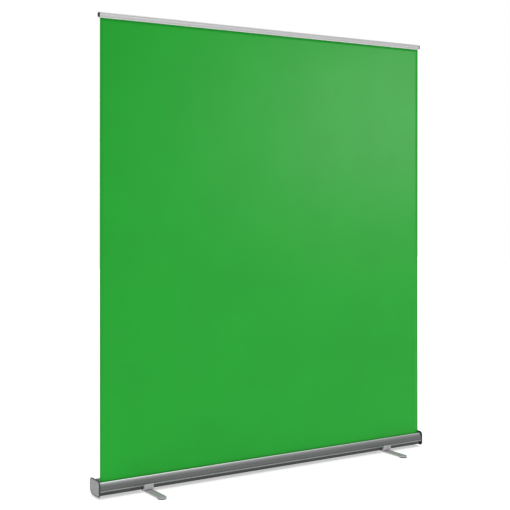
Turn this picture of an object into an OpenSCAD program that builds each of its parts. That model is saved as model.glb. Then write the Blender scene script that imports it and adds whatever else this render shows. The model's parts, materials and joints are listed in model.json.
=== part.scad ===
// Collapsible backdrop panel: a wide sheet on a spring roller, pulled up out of a long
// case and held by two telescopic poles that hook into the rail on its top edge.
// Origin: middle of the case at floor level. +X runs along the case, -Y is the front,
// +Z is up. The sheet is drawn fully raised.

/* [Sheet] */
// Width of the sheet
sheet_w = 1800; // [1790:1:1802]
// Height of the rail's lower edge above the floor
rail_z = 2066; // [2040:1:2080]
// Thickness of the sheet
sheet_t = 0.5; // [0.3:0.1:0.8]

/* [Case] */
// Length of the case between its end caps
case_l = 1816; // [1816:1:1824]
// Thickness of each end cap
cap_t = 5; // [4:0.5:8]
// Wall of the case extrusion
wall = 2.4; // [2:0.1:2.6]
// Height of the underside of the case above the floor
case_z = 13; // [12.5:0.5:14]
// Height of the extrusion's top above the floor
hood_z = 70; // [69:0.5:72]

/* [Poles] */
// Distance from the middle of the case to each pole
pole_x = 500; // [300:1:600]
// Length of the lower and middle tubes
tube_l = 780; // [760:1:790]
// Overlap of one tube in the next when raised
overlap = 120; // [110:1:130]
// Outer radius of the lower tube
pole_r = 10; // [9.5:0.1:10]
// Wall of the pole tubes
pole_wall = 1.2; // [1:0.1:1.2]

/* [Feet] */
// Distance from the middle of the case to each foot
foot_x = 676; // [640:1:700]
// Length of a foot
foot_l = 356; // [320:1:400]
// Width of a foot
foot_w = 40; // [34:1:42]

/* [Hidden] */
$fn = 48;

// Clearances
run_gap = 0.05;     // radial gap of a pin that turns
seat_gap = 0.05;    // gap between a bracket and the face it sits on

// Front to back positions
sheet_y = -13;
slot_front_y = -18.6;
slot_rear_y = -8;
case_front_y = -33;
case_rear_y = 61;
pole_y = 33.4;

// Roller: the sheet leaves it at its front and rises straight to the slot
tube_r = 14;
tube_wall = 1.1;
roll_r = 14.8;
roller_y = sheet_y + sheet_t / 2 + roll_r;
roller_z = 44;

// Poles
slide_r = 0.3;                          // difference of a tube's radius and the next bore
pole_base_z = 23;
middle_r = pole_r - pole_wall - slide_r;
upper_r = middle_r - pole_wall - slide_r;
middle_base_z = pole_base_z + tube_l - overlap;
upper_base_z = middle_base_z + tube_l - overlap;
hook_z = rail_z - 18;                   // underside of the hook's arm
lock_l = 40;
lock_r = 15;

// Foot stack
sole_t = 4;
bar_t = 5;
saddle_z = sole_t + bar_t + 0.2;

// ---------- helpers ----------

function arc(c, r, a0, a1, n = 12) =
    [for (i = [0 : n]) let (a = a0 + (a1 - a0) * i / n) [c[0] + r * cos(a), c[1] + r * sin(a)]];

// Extrudes an outline drawn in (Y, Z) from x0 to x1
module along_x(x0, x1) {
    translate([x0, 0, 0]) rotate([90, 0, 90]) linear_extrude(x1 - x0) children();
}

module rod_x(x0, x1, y, z, r) {
    translate([x0, y, z]) rotate([0, 90, 0]) cylinder(r = r, h = x1 - x0);
}

// Bar with round ends, its length along X
module slot2d(length, width) {
    translate([-length / 2 + width / 2, -width / 2]) square([length - width, width]);
    for (s = [-1, 1]) translate([s * (length - width) / 2, 0]) circle(width / 2);
}

// ---------- case ----------

front_r = 43.5;          // radius of the bowed front
front_c = [case_front_y + front_r, 40];
rib = 1.4;               // how far the rib stands off the front
heel_r = 24;             // radius of the lower rear corner
heel_c = [case_rear_y - heel_r, case_z + heel_r];
brow_r = 10;             // radius of the upper rear corner
brow_c = [case_rear_y - brow_r, hood_z - brow_r];
lip_r = 2;

// Outer line: the front lip of the slot, the bowed front, a rib with a recess under it,
// the floor, the rear wall and the roof up to the rear lip. Then the inner line, back.
module case_outline() {
    polygon(concat(
        [[slot_front_y, hood_z - 6.4]],
        arc([slot_front_y - lip_r, hood_z - lip_r], lip_r, 0, 90, 6),
        arc(front_c, front_r, 136.5, 180, 20),
        [[case_front_y, 36], [case_front_y - rib, 35], [case_front_y - rib, 31],
         [case_front_y, 30], [case_front_y + 6, 29.6], [case_front_y + 11, case_z]],
        arc(heel_c, heel_r, 270, 360, 16),
        arc(brow_c, brow_r, 0, 90),
        arc([slot_rear_y + lip_r, hood_z - lip_r], lip_r, 90, 180, 6),
        [[slot_rear_y, hood_z - 4], [slot_rear_y + wall, hood_z - 4],
         [slot_rear_y + wall, hood_z - wall]],
        arc(brow_c, brow_r - wall, 90, 0),
        arc(heel_c, heel_r - wall, 360, 270, 16),
        [[case_front_y + 12.8, case_z + wall], [case_front_y + 7.7, 32.4],
         [case_front_y + wall, 33.5]],
        arc(front_c, front_r - wall, 180, 140, 20),
        [[slot_front_y - wall, hood_z - 6.4]]));
}

// Point at distance r and angle a from c
function polar(c, r, a) = [c[0] + r * cos(a), c[1] + r * sin(a)];

// Screw ports: rings that run the length of the extrusion against its wall
port_r = 3.6;
port_in = 3;             // from the wall's inner face to the middle of a port
screw_r = 2;
screw_places = [polar(front_c, front_r - wall - port_in, 155), [case_front_y + 14, 22],
    polar(heel_c, heel_r - wall - port_in, 315), polar(brow_c, brow_r - wall - port_in, 45)];

module screw_ports() {
    for (p = screw_places) translate(p) difference() {
        circle(port_r);
        circle(screw_r + seat_gap);
    }
}

// Drilled for the foot pivots in its floor and for the pole sockets in its top
module case_extrusion() {
    color([0.58, 0.62, 0.61]) difference() {
        along_x(-case_l / 2, case_l / 2) {
            case_outline();
            screw_ports();
        }
        for (s = [-1, 1]) {
            translate([s * foot_x, 0, case_z - 1])
                cylinder(r = pivot_r + seat_gap, h = wall + 2);
            translate([s * pole_x, pole_y, hood_z - wall - 5])
                cylinder(r = socket_r + seat_gap, h = 10);
        }
    }
}

// Outline of an end cap, which stands round the extrusion's, drawn smaller by inset
module cap_outline(inset) {
    front = case_front_y - 2;
    rear = case_rear_y + 3;
    foot = case_z - 5;
    top = hood_z + 9;
    polygon(concat(
        arc([front + 20, top - 20], 20 - inset, 90, 180, 16),
        arc([front + 14, foot + 14], 14 - inset, 180, 270, 12),
        arc([rear - 26, foot + 26], 26 - inset, 270, 360, 16),
        arc([rear - 16, top - 16], 16 - inset, 0, 90, 12)));
}

cap_rim = 3.5;
cap_pocket = 2;
boss_l = 8;

// Cap with a pocket for its face plate, four screw holes and a boss that carries the
// roller's end; drawn for the +X end
module cap_body() {
    difference() {
        union() {
            along_x(case_l / 2, case_l / 2 + cap_t) cap_outline(0);
            rod_x(case_l / 2 - boss_l, case_l / 2, roller_y, roller_z, 9);
        }
        along_x(case_l / 2 + cap_t - cap_pocket, case_l / 2 + cap_t + 1) cap_outline(cap_rim);
        for (p = screw_places)
            rod_x(case_l / 2 - 1, case_l / 2 + cap_t + 1, p[0], p[1], screw_r + 0.1);
    }
}

// Bored for the roller's pin
module right_end_cap() {
    color([0.1, 0.1, 0.1]) difference() {
        cap_body();
        rod_x(case_l / 2 - boss_l - 1, case_l / 2 + 1.5, roller_y, roller_z, pin_r + run_gap);
    }
}

// The arbor's flat end sits in a through slot, which shows on the cap's face
spear_w = 8;
spear_t = 3;

module left_end_cap() {
    color([0.1, 0.1, 0.1]) difference() {
        mirror([1, 0, 0]) cap_body();
        along_x(-case_l / 2 - cap_t - 1, -case_l / 2 + boss_l + 1)
            translate([roller_y, roller_z])
                square([spear_w + 0.1, spear_t + 0.1], center = true);
    }
}

plate_proud = 0.4;       // how far a plate stands out of its cap

module cap_plate() {
    difference() {
        along_x(case_l / 2 + cap_t - cap_pocket, case_l / 2 + cap_t + plate_proud)
            cap_outline(cap_rim + 0.15);
        for (p = screw_places)
            rod_x(case_l / 2, case_l / 2 + cap_t + 1, p[0], p[1], screw_r + 0.1);
    }
}

module right_cap_plate() {
    color([0.6, 0.6, 0.61]) cap_plate();
}

module left_cap_plate() {
    color([0.6, 0.6, 0.61]) difference() {
        mirror([1, 0, 0]) cap_plate();
        along_x(-case_l / 2 - cap_t - 1, -case_l / 2) translate([roller_y, roller_z])
            square([spear_w + 1.6, spear_t + 1.6], center = true);
    }
}

// Low-headed screws with a hexagon socket, driven through the caps into the screw ports
module cap_screws() {
    head_x = case_l / 2 + cap_t + plate_proud;
    color([0.5, 0.5, 0.5]) for (s = [0, 1]) mirror([s, 0, 0]) for (p = screw_places) {
        rod_x(case_l / 2 - 14, head_x, p[0], p[1], screw_r);
        difference() {
            rod_x(head_x, head_x + 1.4, p[0], p[1], 3.4);
            translate([head_x + 0.4, p[0], p[1]]) rotate([0, 90, 0])
                cylinder(r = 1.6, h = 2, $fn = 6);
        }
    }
}

// ---------- roller ----------

roller_half = case_l / 2 - boss_l - 1;
plug_l = 22;
arbor_r = 3.5;
pin_r = 3;

// Torsion spring: one end in the roller's plug, the other in the collar of the arbor
wire_r = 1.1;
coil_r = 5.6;
pitch = 6;
turns = 26;
spring_x0 = -roller_half + plug_l + 0.3;
spring_x1 = spring_x0 + pitch * turns;

module roller_tube() {
    color([0.7, 0.7, 0.7]) difference() {
        rod_x(-roller_half, roller_half, roller_y, roller_z, tube_r);
        rod_x(-roller_half - 1, roller_half + 1, roller_y, roller_z, tube_r - tube_wall);
    }
}

// A helix, made by twisting a cross-section that a round wire of that pitch would show
module roller_spring() {
    color([0.45, 0.45, 0.45]) translate([spring_x0, roller_y, roller_z]) rotate([90, 0, 90])
        linear_extrude(pitch * turns, twist = -360 * turns, slices = 10 * turns, $fn = 8)
            polygon([for (t = [0 : 45 : 315])
                polar([0, 0], coil_r + wire_r * cos(t), 360 * wire_r / pitch * sin(t))]);
}

module roller_arbor() {
    color([0.55, 0.55, 0.55]) {
        rod_x(-case_l / 2 + boss_l, spring_x1, roller_y, roller_z, arbor_r);
        rod_x(spring_x1, spring_x1 + 12, roller_y, roller_z, coil_r + wire_r);
        along_x(-case_l / 2 - cap_t, -case_l / 2 + boss_l) translate([roller_y, roller_z])
            square([spear_w, spear_t], center = true);
    }
}

// Round plug pressed into the end of the tube, bored for what runs through it
module tube_plug(x0, x1, bore) {
    difference() {
        rod_x(x0, x1, roller_y, roller_z, tube_r - tube_wall);
        rod_x(x0 - 1, x1 + 1, roller_y, roller_z, bore);
    }
}

module roller_spring_plug() {
    color([0.15, 0.15, 0.15])
        tube_plug(-roller_half, -roller_half + plug_l, arbor_r + run_gap);
}

module roller_idle_plug() {
    color([0.15, 0.15, 0.15]) tube_plug(roller_half - plug_l, roller_half, pin_r);
}

module roller_idle_pin() {
    color([0.6, 0.6, 0.6])
        rod_x(roller_half - plug_l, case_l / 2 + 1, roller_y, roller_z, pin_r);
}

module fabric_roll() {
    color([0.16, 0.64, 0.21]) difference() {
        rod_x(-sheet_w / 2 + 3, sheet_w / 2 - 3, roller_y, roller_z, roll_r);
        rod_x(-sheet_w / 2, sheet_w / 2, roller_y, roller_z, tube_r);
    }
}

module fabric_sheet() {
    color([0.16, 0.64, 0.21]) translate([-sheet_w / 2, sheet_y - sheet_t / 2, roller_z])
        cube([sheet_w, sheet_t, rail_z + 5 - roller_z]);
}

// ---------- rail ----------

rail_half = 903;
rail_cap_t = 6;
rail_front = -20;
jaw_gap = 0.6;                          // half of the gap that the sheet's hem fills
bead = [-13.5, rail_z + 21];            // centre of the bead the front jaw turns on
bead_r = 2.6;

// Back jaw: a round bead along the top, a flat jaw, and a channel for the pole hooks
module rail_back_jaw() {
    color([0.78, 0.78, 0.79]) along_x(-rail_half, rail_half) {
        translate(bead) circle(bead_r);
        translate([0, rail_z]) polygon(concat(
            [[sheet_y + jaw_gap, 0.4], [sheet_y + jaw_gap, 13], [-11.6, 15], [-11.6, 20]],
            arc([-8, 20.6], 3, 150, 60, 6),
            [[-0.4, 20.6], [0.8, 19.4], [0.8, 4], [-0.8, 4], [-0.8, 18.6], [-8.6, 18.6],
             [-8.6, 0.4]]));
    }
}

// Front jaw: wraps more than half of the bead and springs shut on the hem
module rail_front_jaw() {
    centre = [bead[0], bead[1] - rail_z];
    wrap_r = bead_r + 0.3;
    color([0.8, 0.8, 0.8]) along_x(-rail_half, rail_half) translate([0, rail_z])
        polygon(concat(
            [[sheet_y - jaw_gap, 0], [sheet_y - jaw_gap, 5], [-17.4, 9], [-17.5, 15.5]],
            arc(centre, wrap_r + 1.7, 215, 285, 8),
            arc(centre, wrap_r, 285, 95, 16),
            arc(centre, wrap_r + 1.7, 95, 160, 8),
            arc([-14.6, 12], 5.4, 140, 200, 8),
            arc([rail_front + 3, 3], 3, 190, 270, 6)));
}

module rail_cap(x0, x1) {
    along_x(x0, x1) translate([rail_front + 6, rail_z + 13]) rotate(90) slot2d(20, 11);
}

module left_rail_cap() {
    color([0.08, 0.08, 0.08]) rail_cap(-rail_half - rail_cap_t, -rail_half);
}

module right_rail_cap() {
    color([0.08, 0.08, 0.08]) rail_cap(rail_half, rail_half + rail_cap_t);
}

// ---------- poles ----------

socket_r = pole_r + 2;
socket_base_z = case_z + wall + seat_gap;

module pole_tube(x, z0, length, r, wall_t) {
    translate([x, pole_y, z0]) difference() {
        cylinder(r = r, h = length);
        translate([0, 0, -1]) cylinder(r = r - wall_t, h = length + 2);
    }
}

// Flanged bush in the top of the case, narrowed at its foot to clear the case's rounded
// corner; the lower tube stands in it
module pole_socket(x) {
    color([0.12, 0.12, 0.12]) translate([x, pole_y, 0]) difference() {
        union() {
            translate([0, 0, socket_base_z]) cylinder(r1 = 4.5, r2 = socket_r, h = 6);
            translate([0, 0, socket_base_z + 6])
                cylinder(r = socket_r, h = hood_z - socket_base_z - 6 + seat_gap);
            translate([0, 0, hood_z + seat_gap]) cylinder(r1 = 14.4, r2 = 13.4, h = 3);
        }
        translate([0, 0, pole_base_z]) cylinder(r = pole_r, h = hood_z);
    }
}

module lower_tube(x) {
    color([0.72, 0.73, 0.74]) pole_tube(x, pole_base_z, tube_l, pole_r, pole_wall);
}

module middle_tube(x) {
    color([0.72, 0.73, 0.74]) pole_tube(x, middle_base_z, tube_l, middle_r, pole_wall);
}

module upper_tube(x) {
    color([0.72, 0.73, 0.74])
        pole_tube(x, upper_base_z, hook_z - upper_base_z, upper_r, pole_wall);
}

// Twist-lock collar: a ribbed sleeve with a cone towards the thinner tube
module twist_lock(x, tube_top, outer_r, inner_r) {
    ribs = 16;
    rib_r = 0.9;
    color([0.1, 0.1, 0.1]) translate([x, pole_y, tube_top - lock_l + 12]) difference() {
        union() {
            cylinder(r = outer_r, h = lock_l - 10);
            translate([0, 0, lock_l - 10])
                cylinder(r1 = outer_r, r2 = inner_r + 1.6, h = 10);
            for (i = [0 : ribs - 1]) rotate(i * 360 / ribs)
                translate([outer_r, 0, 3]) cylinder(r = rib_r, h = lock_l - 16, $fn = 16);
        }
        translate([0, 0, -1]) cylinder(r = inner_r + slide_r + pole_wall + run_gap,
            h = lock_l - 12 + 1);
        cylinder(r = inner_r + run_gap, h = lock_l + 1);
    }
}

module lower_lock(x) {
    twist_lock(x, pole_base_z + tube_l, lock_r - 1, middle_r);
}

module upper_lock(x) {
    twist_lock(x, middle_base_z + tube_l, lock_r - 2.4, upper_r);
}

// Plug pressed into the foot of a sliding tube, with a guide ring under it
module tube_bush(x, z0, r) {
    color([0.85, 0.85, 0.8]) translate([x, pole_y, 0]) {
        translate([0, 0, z0]) cylinder(r = r - pole_wall, h = 14);
        translate([0, 0, z0 - 5]) cylinder(r = r + slide_r - run_gap, h = 5);
    }
}

// Moulded hook: a plug in the upper tube, a gusseted arm and a tongue in the rail channel
module pole_hook(x) {
    tongue_y = [-7.6, -2.2];
    color([0.1, 0.1, 0.1]) {
        translate([x, pole_y, hook_z - 30]) cylinder(r = upper_r - pole_wall, h = 30);
        translate([x, pole_y, hook_z]) cylinder(r = upper_r + 2.5, h = 9);
        along_x(x - 4, x + 4) polygon([[tongue_y[0], hook_z + 2], [pole_y - upper_r, hook_z],
            [pole_y, hook_z + 1], [pole_y, hook_z + 8.5], [pole_y - 12, hook_z + 9],
            [tongue_y[1], hook_z + 14], [tongue_y[0], hook_z + 14]]);
        along_x(x - 12, x + 12) polygon([[tongue_y[0], hook_z + 7], [tongue_y[1], hook_z + 7],
            [tongue_y[1], rail_z + 17], [tongue_y[1] - 1, rail_z + 18.2],
            [tongue_y[0] + 1, rail_z + 18.2], [tongue_y[0], rail_z + 17]]);
    }
}

module left_pole_socket() { pole_socket(-pole_x); }
module left_lower_tube() { lower_tube(-pole_x); }
module left_middle_tube() { middle_tube(-pole_x); }
module left_upper_tube() { upper_tube(-pole_x); }
module left_lower_lock() { lower_lock(-pole_x); }
module left_upper_lock() { upper_lock(-pole_x); }
module left_middle_bush() { tube_bush(-pole_x, middle_base_z, middle_r); }
module left_upper_bush() { tube_bush(-pole_x, upper_base_z, upper_r); }
module left_pole_hook() { pole_hook(-pole_x); }
module right_pole_socket() { pole_socket(pole_x); }
module right_lower_tube() { lower_tube(pole_x); }
module right_middle_tube() { middle_tube(pole_x); }
module right_upper_tube() { upper_tube(pole_x); }
module right_lower_lock() { lower_lock(pole_x); }
module right_upper_lock() { upper_lock(pole_x); }
module right_middle_bush() { tube_bush(pole_x, middle_base_z, middle_r); }
module right_upper_bush() { tube_bush(pole_x, upper_base_z, upper_r); }
module right_pole_hook() { pole_hook(pole_x); }

// ---------- feet ----------

pivot_r = 5;

// Moulded bracket that clips over the rib and its recess and runs under the case
module foot_saddle(x) {
    front = case_front_y - rib - 3;
    under = case_z - seat_gap;
    color([0.72, 0.72, 0.73]) difference() {
        along_x(x - 22, x + 22) polygon(concat(
            [[case_front_y - rib - seat_gap, 36], [front + 1, 36], [front, 35]],
            arc([front + 7, saddle_z + 7], 7, 180, 270, 10),
            [[case_rear_y - heel_r, saddle_z], [case_rear_y - heel_r, under],
             [case_front_y + 11 - seat_gap, under],
             [case_front_y + 6 - 2 * seat_gap, 29.6 - seat_gap],
             [case_front_y - seat_gap, 30 - seat_gap],
             [case_front_y - rib - seat_gap, 31 - seat_gap]]));
        translate([x, 0, 0]) cylinder(r = pivot_r + seat_gap, h = case_z + 1);
    }
}

// Flat bar with round ends and two shallow grooves along its top
module foot_bar(x) {
    color([0.66, 0.66, 0.67]) translate([x, 0, sole_t]) difference() {
        linear_extrude(bar_t) difference() {
            rotate(90) slot2d(foot_l, foot_w);
            circle(pivot_r + run_gap);
        }
        for (s = [-1, 1]) translate([s * foot_w / 4 - 1.5, -foot_l / 2 + foot_w / 2, bar_t - 1])
            cube([3, foot_l - foot_w, 2]);
    }
}

module foot_soles(x) {
    color([0.12, 0.12, 0.12]) for (s = [-1, 1])
        translate([x, s * (foot_l - foot_w) / 2, 0]) cylinder(r = foot_w / 2 - 0.8, h = sole_t);
}

// Shouldered rivet: head inside the case, collar under the foot bar
module foot_pivot(x) {
    color([0.4, 0.4, 0.4]) translate([x, 0, 0]) {
        translate([0, 0, sole_t - 1.5]) cylinder(r = 9, h = 1.4);
        translate([0, 0, sole_t - 1.5]) cylinder(r = pivot_r, h = case_z + wall - sole_t + 1.5);
        translate([0, 0, case_z + wall]) cylinder(r = 8, h = 1.6);
    }
}

module left_foot_saddle() { foot_saddle(-foot_x); }
module left_foot_bar() { foot_bar(-foot_x); }
module left_foot_pivot() { foot_pivot(-foot_x); }
module left_foot_soles() { foot_soles(-foot_x); }
module right_foot_saddle() { foot_saddle(foot_x); }
module right_foot_bar() { foot_bar(foot_x); }
module right_foot_pivot() { foot_pivot(foot_x); }
module right_foot_soles() { foot_soles(foot_x); }

// ---------- nodes ----------

case_extrusion();
left_end_cap();
right_end_cap();
left_cap_plate();
right_cap_plate();
cap_screws();
roller_tube();
roller_spring();
roller_arbor();
roller_spring_plug();
roller_idle_plug();
roller_idle_pin();
fabric_roll();
fabric_sheet();
rail_back_jaw();
rail_front_jaw();
left_rail_cap();
right_rail_cap();
left_pole_socket();
left_lower_tube();
left_middle_tube();
left_upper_tube();
left_lower_lock();
left_upper_lock();
left_middle_bush();
left_upper_bush();
left_pole_hook();
right_pole_socket();
right_lower_tube();
right_middle_tube();
right_upper_tube();
right_lower_lock();
right_upper_lock();
right_middle_bush();
right_upper_bush();
right_pole_hook();
left_foot_saddle();
left_foot_bar();
left_foot_pivot();
left_foot_soles();
right_foot_saddle();
right_foot_bar();
right_foot_pivot();
right_foot_soles();
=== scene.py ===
import json
import math

import bmesh
import bpy
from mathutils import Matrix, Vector


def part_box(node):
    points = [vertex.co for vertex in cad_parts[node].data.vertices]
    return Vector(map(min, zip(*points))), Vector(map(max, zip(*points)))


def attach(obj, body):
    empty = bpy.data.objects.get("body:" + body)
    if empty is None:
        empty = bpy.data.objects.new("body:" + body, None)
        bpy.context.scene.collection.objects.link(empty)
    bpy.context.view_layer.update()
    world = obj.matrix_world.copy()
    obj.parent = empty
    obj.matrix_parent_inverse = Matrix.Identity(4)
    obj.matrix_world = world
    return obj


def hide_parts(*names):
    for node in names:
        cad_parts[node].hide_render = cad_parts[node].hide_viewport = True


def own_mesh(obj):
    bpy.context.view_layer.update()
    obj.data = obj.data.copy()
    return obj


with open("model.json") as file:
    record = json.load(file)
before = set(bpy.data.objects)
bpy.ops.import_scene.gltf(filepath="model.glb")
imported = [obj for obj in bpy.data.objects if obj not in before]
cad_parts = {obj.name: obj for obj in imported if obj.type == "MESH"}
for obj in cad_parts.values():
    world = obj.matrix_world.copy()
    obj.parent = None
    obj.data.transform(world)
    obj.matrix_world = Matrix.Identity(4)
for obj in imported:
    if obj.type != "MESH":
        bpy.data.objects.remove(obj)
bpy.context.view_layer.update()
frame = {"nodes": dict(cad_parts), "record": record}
nodes = frame["nodes"]

# Where the CAD's cloth and the roller's tube are, in metres
SHEET_LO, SHEET_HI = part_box("fabric_sheet")
ROLL_LO, ROLL_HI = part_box("fabric_roll")
TUBE_LO, TUBE_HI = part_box("roller_tube")

# Studio
SKY_SEEN = 1.0          # strength of the white sky to the camera
SKY_LIGHT = 0.40        # and as light on the object
SUN_POWER = 1.8
SUN_SPREAD = 70         # degrees across, so that its shadows are soft
SUN_TILT = 7            # degrees from straight above, towards the front
FLOOR_HALF = 14.0
FLOOR_GLOW = 0.45       # the floor is a lit white table
SHEEN_ON = "cloth"      # the collection that the sheen light falls on

# Cloth
SHEET_T = 0.0005
FLAT_BELOW = 0.08       # the sheet is flat up to here, where it has left the slot
FLAT_AT_RAIL = 0.01     # and over this much at the rail's jaws
TURNS_LEFT = 2.0        # turns on the tube when the sheet is up

# Painted light and shade on the case's front: height above the floor in metres, and the colour
# painted there
PAINTED_SHADING_TOP = 0.1
CASE_PAINTED_SHADING = (
    (0.0285, (0.055, 0.056, 0.058)),        # painted shade in the recess under the rib
    (0.0305, (0.26, 0.2626, 0.2704)),       # rib, painted lighter as a highlight
    (0.0350, (0.26, 0.2626, 0.2704)),
    (0.0366, (0.08, 0.0808, 0.0832)),       # painted shadow line above the rib
    (0.0520, (0.22, 0.2222, 0.2288)),       # bowed front, painted lighter towards the top as if lit from above
    (0.0675, (0.44, 0.4444, 0.4576)),
    (0.0695, (0.85, 0.88, 0.86)),           # lip of the slot: a painted highlight, tinted by a painted green reflection of the sheet
)


# ---------- camera ----------

def make_camera():
    """A level camera, left of the stand, with a little shift to frame it."""
    data = bpy.data.cameras.new("camera")
    data.sensor_width = 36.0
    data.lens = 74.5
    data.shift_y = -0.1070
    data.clip_end = 60.0
    camera = bpy.data.objects.new("camera", data)
    camera.location = (-2.790, -4.187, 1.281)
    camera.rotation_euler = (math.radians(90), 0, math.radians(-32.72))
    bpy.context.collection.objects.link(camera)
    bpy.context.scene.camera = camera


# ---------- light and floor ----------

def make_sky():
    """White to the camera, and dimmer as a light."""
    world = bpy.data.worlds.new("studio")
    world.use_nodes = True
    tree = world.node_tree
    background = tree.nodes["Background"]
    background.inputs["Color"].default_value = (1.0, 1.0, 1.0, 1.0)
    path = tree.nodes.new("ShaderNodeLightPath")
    strength = tree.nodes.new("ShaderNodeMapRange")
    strength.inputs["To Min"].default_value = SKY_LIGHT
    strength.inputs["To Max"].default_value = SKY_SEEN
    tree.links.new(path.outputs["Is Camera Ray"], strength.inputs["Value"])
    tree.links.new(strength.outputs["Result"], background.inputs["Strength"])
    bpy.context.scene.world = world


def make_sheen():
    """A panel on the right whose reflection is the sheen on the sheet's upper right."""
    data = bpy.data.lights.new("sheen", "AREA")
    data.shape = "RECTANGLE"
    data.size = 1.7
    data.size_y = 1.4
    data.energy = 58
    light = bpy.data.objects.new("sheen", data)
    light.location = (2.5, -2.4, 2.0)
    towards = Vector((0.55, 0.0, 1.72)) - light.location
    light.rotation_euler = towards.to_track_quat("-Z", "Y").to_euler()
    light.visible_diffuse = False
    light.light_linking.receiver_collection = bpy.data.collections.new(SHEEN_ON)
    bpy.context.collection.objects.link(light)


def make_sun():
    data = bpy.data.lights.new("top", "SUN")
    data.energy = SUN_POWER
    data.angle = math.radians(SUN_SPREAD)
    sun = bpy.data.objects.new("top", data)
    sun.rotation_euler = (math.radians(SUN_TILT), 0, 0)
    bpy.context.collection.objects.link(sun)


def make_floor():
    mesh = bpy.data.meshes.new("floor")
    half = FLOOR_HALF
    corners = [(-half, -half, 0), (half, -half, 0), (half, half, 0), (-half, half, 0)]
    mesh.from_pydata(corners, [], [(0, 1, 2, 3)])
    floor = bpy.data.objects.new("floor", mesh)
    bpy.context.collection.objects.link(floor)
    mesh.materials.append(plain_floor())


def make_studio():
    bpy.context.scene.view_settings.view_transform = "Standard"
    make_sky()
    make_sheen()
    make_sun()
    make_floor()


# ---------- materials ----------

class Shader:
    """A Principled material with helpers for the few node patterns used here."""

    def __init__(self, name):
        self.material = bpy.data.materials.new(name)
        self.material.use_nodes = True
        self.tree = self.material.node_tree
        self.bsdf = self.tree.nodes["Principled BSDF"]

    def set(self, **values):
        for name, value in values.items():
            self.bsdf.inputs[name.replace("_", " ")].default_value = value
        return self

    def node(self, kind, **values):
        made = self.tree.nodes.new(kind)
        for name, value in values.items():
            setattr(made, name, value)
        return made

    def link(self, source, target):
        self.tree.links.new(source, target)

    def place(self, scale):
        """Object coordinates stretched by scale along each axis."""
        where = self.node("ShaderNodeTexCoord")
        mapping = self.node("ShaderNodeMapping")
        mapping.inputs["Scale"].default_value = scale
        self.link(where.outputs["Object"], mapping.inputs["Vector"])
        return mapping.outputs["Vector"]

    def axes(self):
        """Object coordinates as X, Y and Z outputs."""
        where = self.node("ShaderNodeTexCoord")
        split = self.node("ShaderNodeSeparateXYZ")
        self.link(where.outputs["Object"], split.inputs["Vector"])
        return split.outputs

    def noise(self, scale, detail=3.0, stretch=(1, 1, 1)):
        made = self.node("ShaderNodeTexNoise")
        made.inputs["Scale"].default_value = scale
        made.inputs["Detail"].default_value = detail
        self.link(self.place(stretch), made.inputs["Vector"])
        return made.outputs["Fac"]

    def rescale(self, source, before, after=(0.0, 1.0)):
        """Maps the range before of source to the range after."""
        made = self.node("ShaderNodeMapRange")
        ends = ("From Min", "From Max", "To Min", "To Max")
        for end, value in zip(ends, (*before, *after)):
            made.inputs[end].default_value = value
        self.link(source, made.inputs["Value"])
        return made.outputs["Result"]

    def bands(self, source, stops):
        """Colours along source, from stops of (value, colour)."""
        made = self.node("ShaderNodeValToRGB")
        elements = made.color_ramp.elements
        for element, (value, colour) in zip(elements, (stops[0], stops[-1])):
            element.position = value
            element.color = (*colour, 1)
        for value, colour in stops[1:-1]:
            elements.new(value).color = (*colour, 1)
        self.link(source, made.inputs["Fac"])
        return made.outputs["Color"]

    def ramp(self, source, low, high):
        """Colours from low to high over the middle of a noise's range."""
        return self.bands(source, ((0.35, low), (0.65, high)))

    def mix(self, factor, first, second):
        made = self.node("ShaderNodeMix", data_type="RGBA")
        for index, source in ((0, factor), (6, first), (7, second)):
            self.link(source, made.inputs[index])
        return made.outputs[2]

    def colour(self, source):
        self.link(source, self.bsdf.inputs["Base Color"])
        return self

    def roughness(self, source, low, high):
        spread = self.rescale(source, (0.0, 1.0), (low, high))
        self.link(spread, self.bsdf.inputs["Roughness"])
        return self

    def bump(self, source, distance, strength=1.0):
        made = self.node("ShaderNodeBump")
        made.inputs["Distance"].default_value = distance
        made.inputs["Strength"].default_value = strength
        self.link(source, made.inputs["Height"])
        self.link(made.outputs["Normal"], self.bsdf.inputs["Normal"])
        return self


def shade(colour, factor):
    return tuple(c * factor for c in colour)


def plain_floor():
    s = Shader("floor").set(Roughness=0.7)
    s.set(Emission_Color=(1, 1, 1, 1), Emission_Strength=FLOOR_GLOW)
    return s.colour(s.ramp(s.noise(2.0), (0.92, 0.92, 0.92), (0.95, 0.95, 0.95))).material


def brushed_metal(name, colour, metallic=0.8, rough=0.35, along="x"):
    """Drawn or brushed metal: fine lines along one axis and faint handling marks."""
    fine = {"x": (0.6, 60, 60), "z": (60, 60, 0.6)}[along]
    s = Shader(name).set(Metallic=metallic)
    lines = s.noise(14.0, 2.0, fine)
    cloud = s.noise(9.0, 4.0)
    s.colour(s.ramp(lines, shade(colour, 0.93), shade(colour, 1.05)))
    s.roughness(cloud, rough - 0.05, rough + 0.08)
    return s.bump(lines, 0.00004, 0.5).material


def case_metal_painted_shading(name):
    """Satin anodised extrusion: light and shade painted in by height in front, plain behind the
    slot.
    """
    s = Shader(name).set(Metallic=0.65)
    axes = s.axes()
    height = s.rescale(axes["Z"], (0.0, PAINTED_SHADING_TOP))
    # painted shade in the recess and the line by the rib, painted highlights on the rib, the
    # upper bowed front and the slot's lip
    painted_shading = s.bands(height, [(z / PAINTED_SHADING_TOP, colour) for z, colour in CASE_PAINTED_SHADING])
    in_front = s.rescale(axes["Y"], (0.0, -0.01))
    lines = s.noise(14.0, 2.0, (0.6, 60, 60))
    body = s.ramp(lines, (0.17, 0.172, 0.178), (0.2, 0.202, 0.208))
    s.colour(s.mix(in_front, body, painted_shading))
    s.roughness(s.noise(9.0, 4.0), 0.3, 0.38)
    return s.bump(lines, 0.00004, 0.5).material


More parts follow.
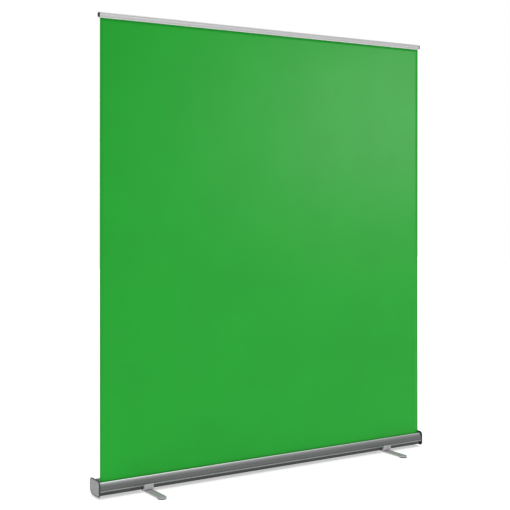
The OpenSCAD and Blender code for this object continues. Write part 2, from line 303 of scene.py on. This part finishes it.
def moulded_plastic(name, colour, rough=0.5):
    """Injection moulded plastic with a fine spark texture."""
    s = Shader(name)
    grain = s.noise(900.0, 2.0)
    s.colour(s.ramp(s.noise(30.0), shade(colour, 0.9), shade(colour, 1.1)))
    s.roughness(grain, rough - 0.06, rough + 0.08)
    return s.bump(grain, 0.00008, 0.5).material


def painted_steel(name, colour, rough=0.4, metallic=0.35):
    """Powder coat: an orange-peel surface over flat steel."""
    s = Shader(name).set(Metallic=metallic)
    peel = s.noise(420.0, 2.0)
    s.colour(s.ramp(s.noise(12.0), shade(colour, 0.95), shade(colour, 1.04)))
    s.roughness(peel, rough - 0.05, rough + 0.07)
    return s.bump(peel, 0.00006, 0.5).material


def rubber(name, colour):
    s = Shader(name)
    grain = s.noise(500.0, 3.0)
    s.colour(s.ramp(s.noise(40.0), shade(colour, 0.8), shade(colour, 1.2)))
    s.roughness(grain, 0.75, 0.9)
    return s.bump(grain, 0.0001, 0.6).material


def woven_green(name):
    """Coated green cloth: a fine plain weave under a satin face."""
    s = Shader(name).set(Specular_IOR_Level=0.22)
    weft = s.node("ShaderNodeTexWave", bands_direction="X")
    warp = s.node("ShaderNodeTexWave", bands_direction="Z")
    for wave in (weft, warp):
        wave.inputs["Scale"].default_value = 420.0
        s.link(s.place((1, 1, 1)), wave.inputs["Vector"])
    weave = s.node("ShaderNodeMath", operation="MULTIPLY")
    s.link(weft.outputs["Fac"], weave.inputs[0])
    s.link(warp.outputs["Fac"], weave.inputs[1])
    green = (0.0075, 0.380, 0.0225)
    s.colour(s.ramp(s.noise(3.0, 2.0), shade(green, 0.97), shade(green, 1.03)))
    s.roughness(s.noise(5.0), 0.40, 0.46)
    return s.bump(weave.outputs[0], 0.00005, 0.35).material


def make_materials():
    silver = (0.60, 0.60, 0.61)
    return {
        "case_aluminium": case_metal_painted_shading("case_aluminium"),
        "cap_plastic": moulded_plastic("cap_plastic", (0.022, 0.022, 0.023)),
        "plate_silver": painted_steel("plate_silver", (0.25, 0.25, 0.257)),
        "steel": brushed_metal("steel", (0.5, 0.5, 0.5), 0.95, 0.3),
        "pole_aluminium": brushed_metal("pole_aluminium", silver, 0.85, 0.3, "z"),
        "nylon": moulded_plastic("nylon", (0.75, 0.75, 0.70), 0.45),
        "chroma_fabric": woven_green("chroma_fabric"),
        "rail_silver": brushed_metal("rail_silver", (0.72, 0.72, 0.73), 0.5, 0.38),
        "foot_silver": painted_steel("foot_silver", (0.46, 0.43, 0.46), 0.5, 0.1),
        "saddle_plastic": moulded_plastic("saddle_plastic", (0.5, 0.5, 0.51), 0.45),
        "rubber_black": rubber("rubber_black", (0.02, 0.02, 0.02)),
    }


def dress_nodes(materials):
    """Gives every CAD node the procedural material of its slot."""
    slots = {part["node"]: part["material_slot"] for part in frame["record"]["subparts"]}
    for name, obj in nodes.items():
        obj.data.materials.clear()
        obj.data.materials.append(materials[slots[name]])


# ---------- cloth ----------

def ripple(u, w):
    """How far the sheet stands off its plane: none at the rail, case and roller."""
    swell = math.sin(2.1 * math.pi * u + 0.6) + 0.6 * math.sin(4.7 * math.pi * u + 1.9 + w)
    edge = math.exp(-((1 - abs(2 * u - 1)) * 14) ** 2)
    return (0.0003 * swell + 0.0012 * edge) * math.sin(math.pi * w) ** 0.7


def cloth_slab(name, columns, rows, place, thick, material):
    """A closed slab of cloth, thick metres thick, about the surface place(u, v)."""
    bm = bmesh.new()
    grid = []
    for j in range(rows + 1):
        grid.append([bm.verts.new(place(i / columns, j / rows)) for i in range(columns + 1)])
    for j in range(rows):
        for i in range(columns):
            bm.faces.new((grid[j][i], grid[j][i + 1], grid[j + 1][i + 1], grid[j + 1][i]))
    mesh = bpy.data.meshes.new(name)
    bm.to_mesh(mesh)
    bm.free()
    slab = bpy.data.objects.new(name, mesh)
    bpy.context.collection.objects.link(slab)
    thickness = slab.modifiers.new("thickness", "SOLIDIFY")
    thickness.thickness = thick
    thickness.offset = 0.0
    bpy.context.view_layer.objects.active = slab
    bpy.ops.object.select_all(action="DESELECT")
    slab.select_set(True)
    bpy.ops.object.modifier_apply(modifier=thickness.name)
    for polygon in mesh.polygons:
        polygon.use_smooth = True
    mesh.materials.append(material)
    return slab


def make_wound_cloth(material):
    """The turns left on the tube: a spiral that ends in front, where the sheet goes up."""
    width = ROLL_HI.x - ROLL_LO.x
    centre_y = (ROLL_LO.y + ROLL_HI.y) / 2
    centre_z = (ROLL_LO.z + ROLL_HI.z) / 2
    tube_r = (TUBE_HI.z - TUBE_LO.z) / 2
    roll_r = (ROLL_HI.z - ROLL_LO.z) / 2
    layer = (roll_r - tube_r) / (TURNS_LEFT + 1)
    first_r, last_r = tube_r + layer / 2, roll_r - layer / 2

    def place(u, v):
        angle = math.pi + 2 * math.pi * TURNS_LEFT * (1 - v)
        r = first_r + (last_r - first_r) * v
        y = centre_y + r * math.cos(angle)
        return (ROLL_LO.x + width * u, y, centre_z + r * math.sin(angle))

    roll = cloth_slab("wound_cloth", 12, 128, place, 0.94 * layer, material)
    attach(roll, "roller")
    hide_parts("fabric_roll")


def make_sheet(material):
    """The raised cloth: flat where it is clamped and in the slot, with a faint wave between."""
    width, height = SHEET_HI.x - SHEET_LO.x, SHEET_HI.z - SHEET_LO.z
    middle_y = (SHEET_LO.y + SHEET_HI.y) / 2
    flat_from = SHEET_HI.z - FLAT_AT_RAIL

    def place(u, v):
        z = SHEET_LO.z + height * v
        w = min(max((z - FLAT_BELOW) / (flat_from - FLAT_BELOW), 0), 1)
        return (SHEET_LO.x + width * u, middle_y + ripple(u, w), z)

    sheet = cloth_slab("green_sheet", 96, 108, place, SHEET_T, material)
    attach(sheet, "root")
    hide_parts("fabric_sheet")
    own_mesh(sheet)
    bpy.data.collections[SHEEN_ON].objects.link(sheet)


# ---------- build ----------

make_camera()
make_studio()
materials = make_materials()
dress_nodes(materials)
make_wound_cloth(materials["chroma_fabric"])
make_sheet(materials["chroma_fabric"])
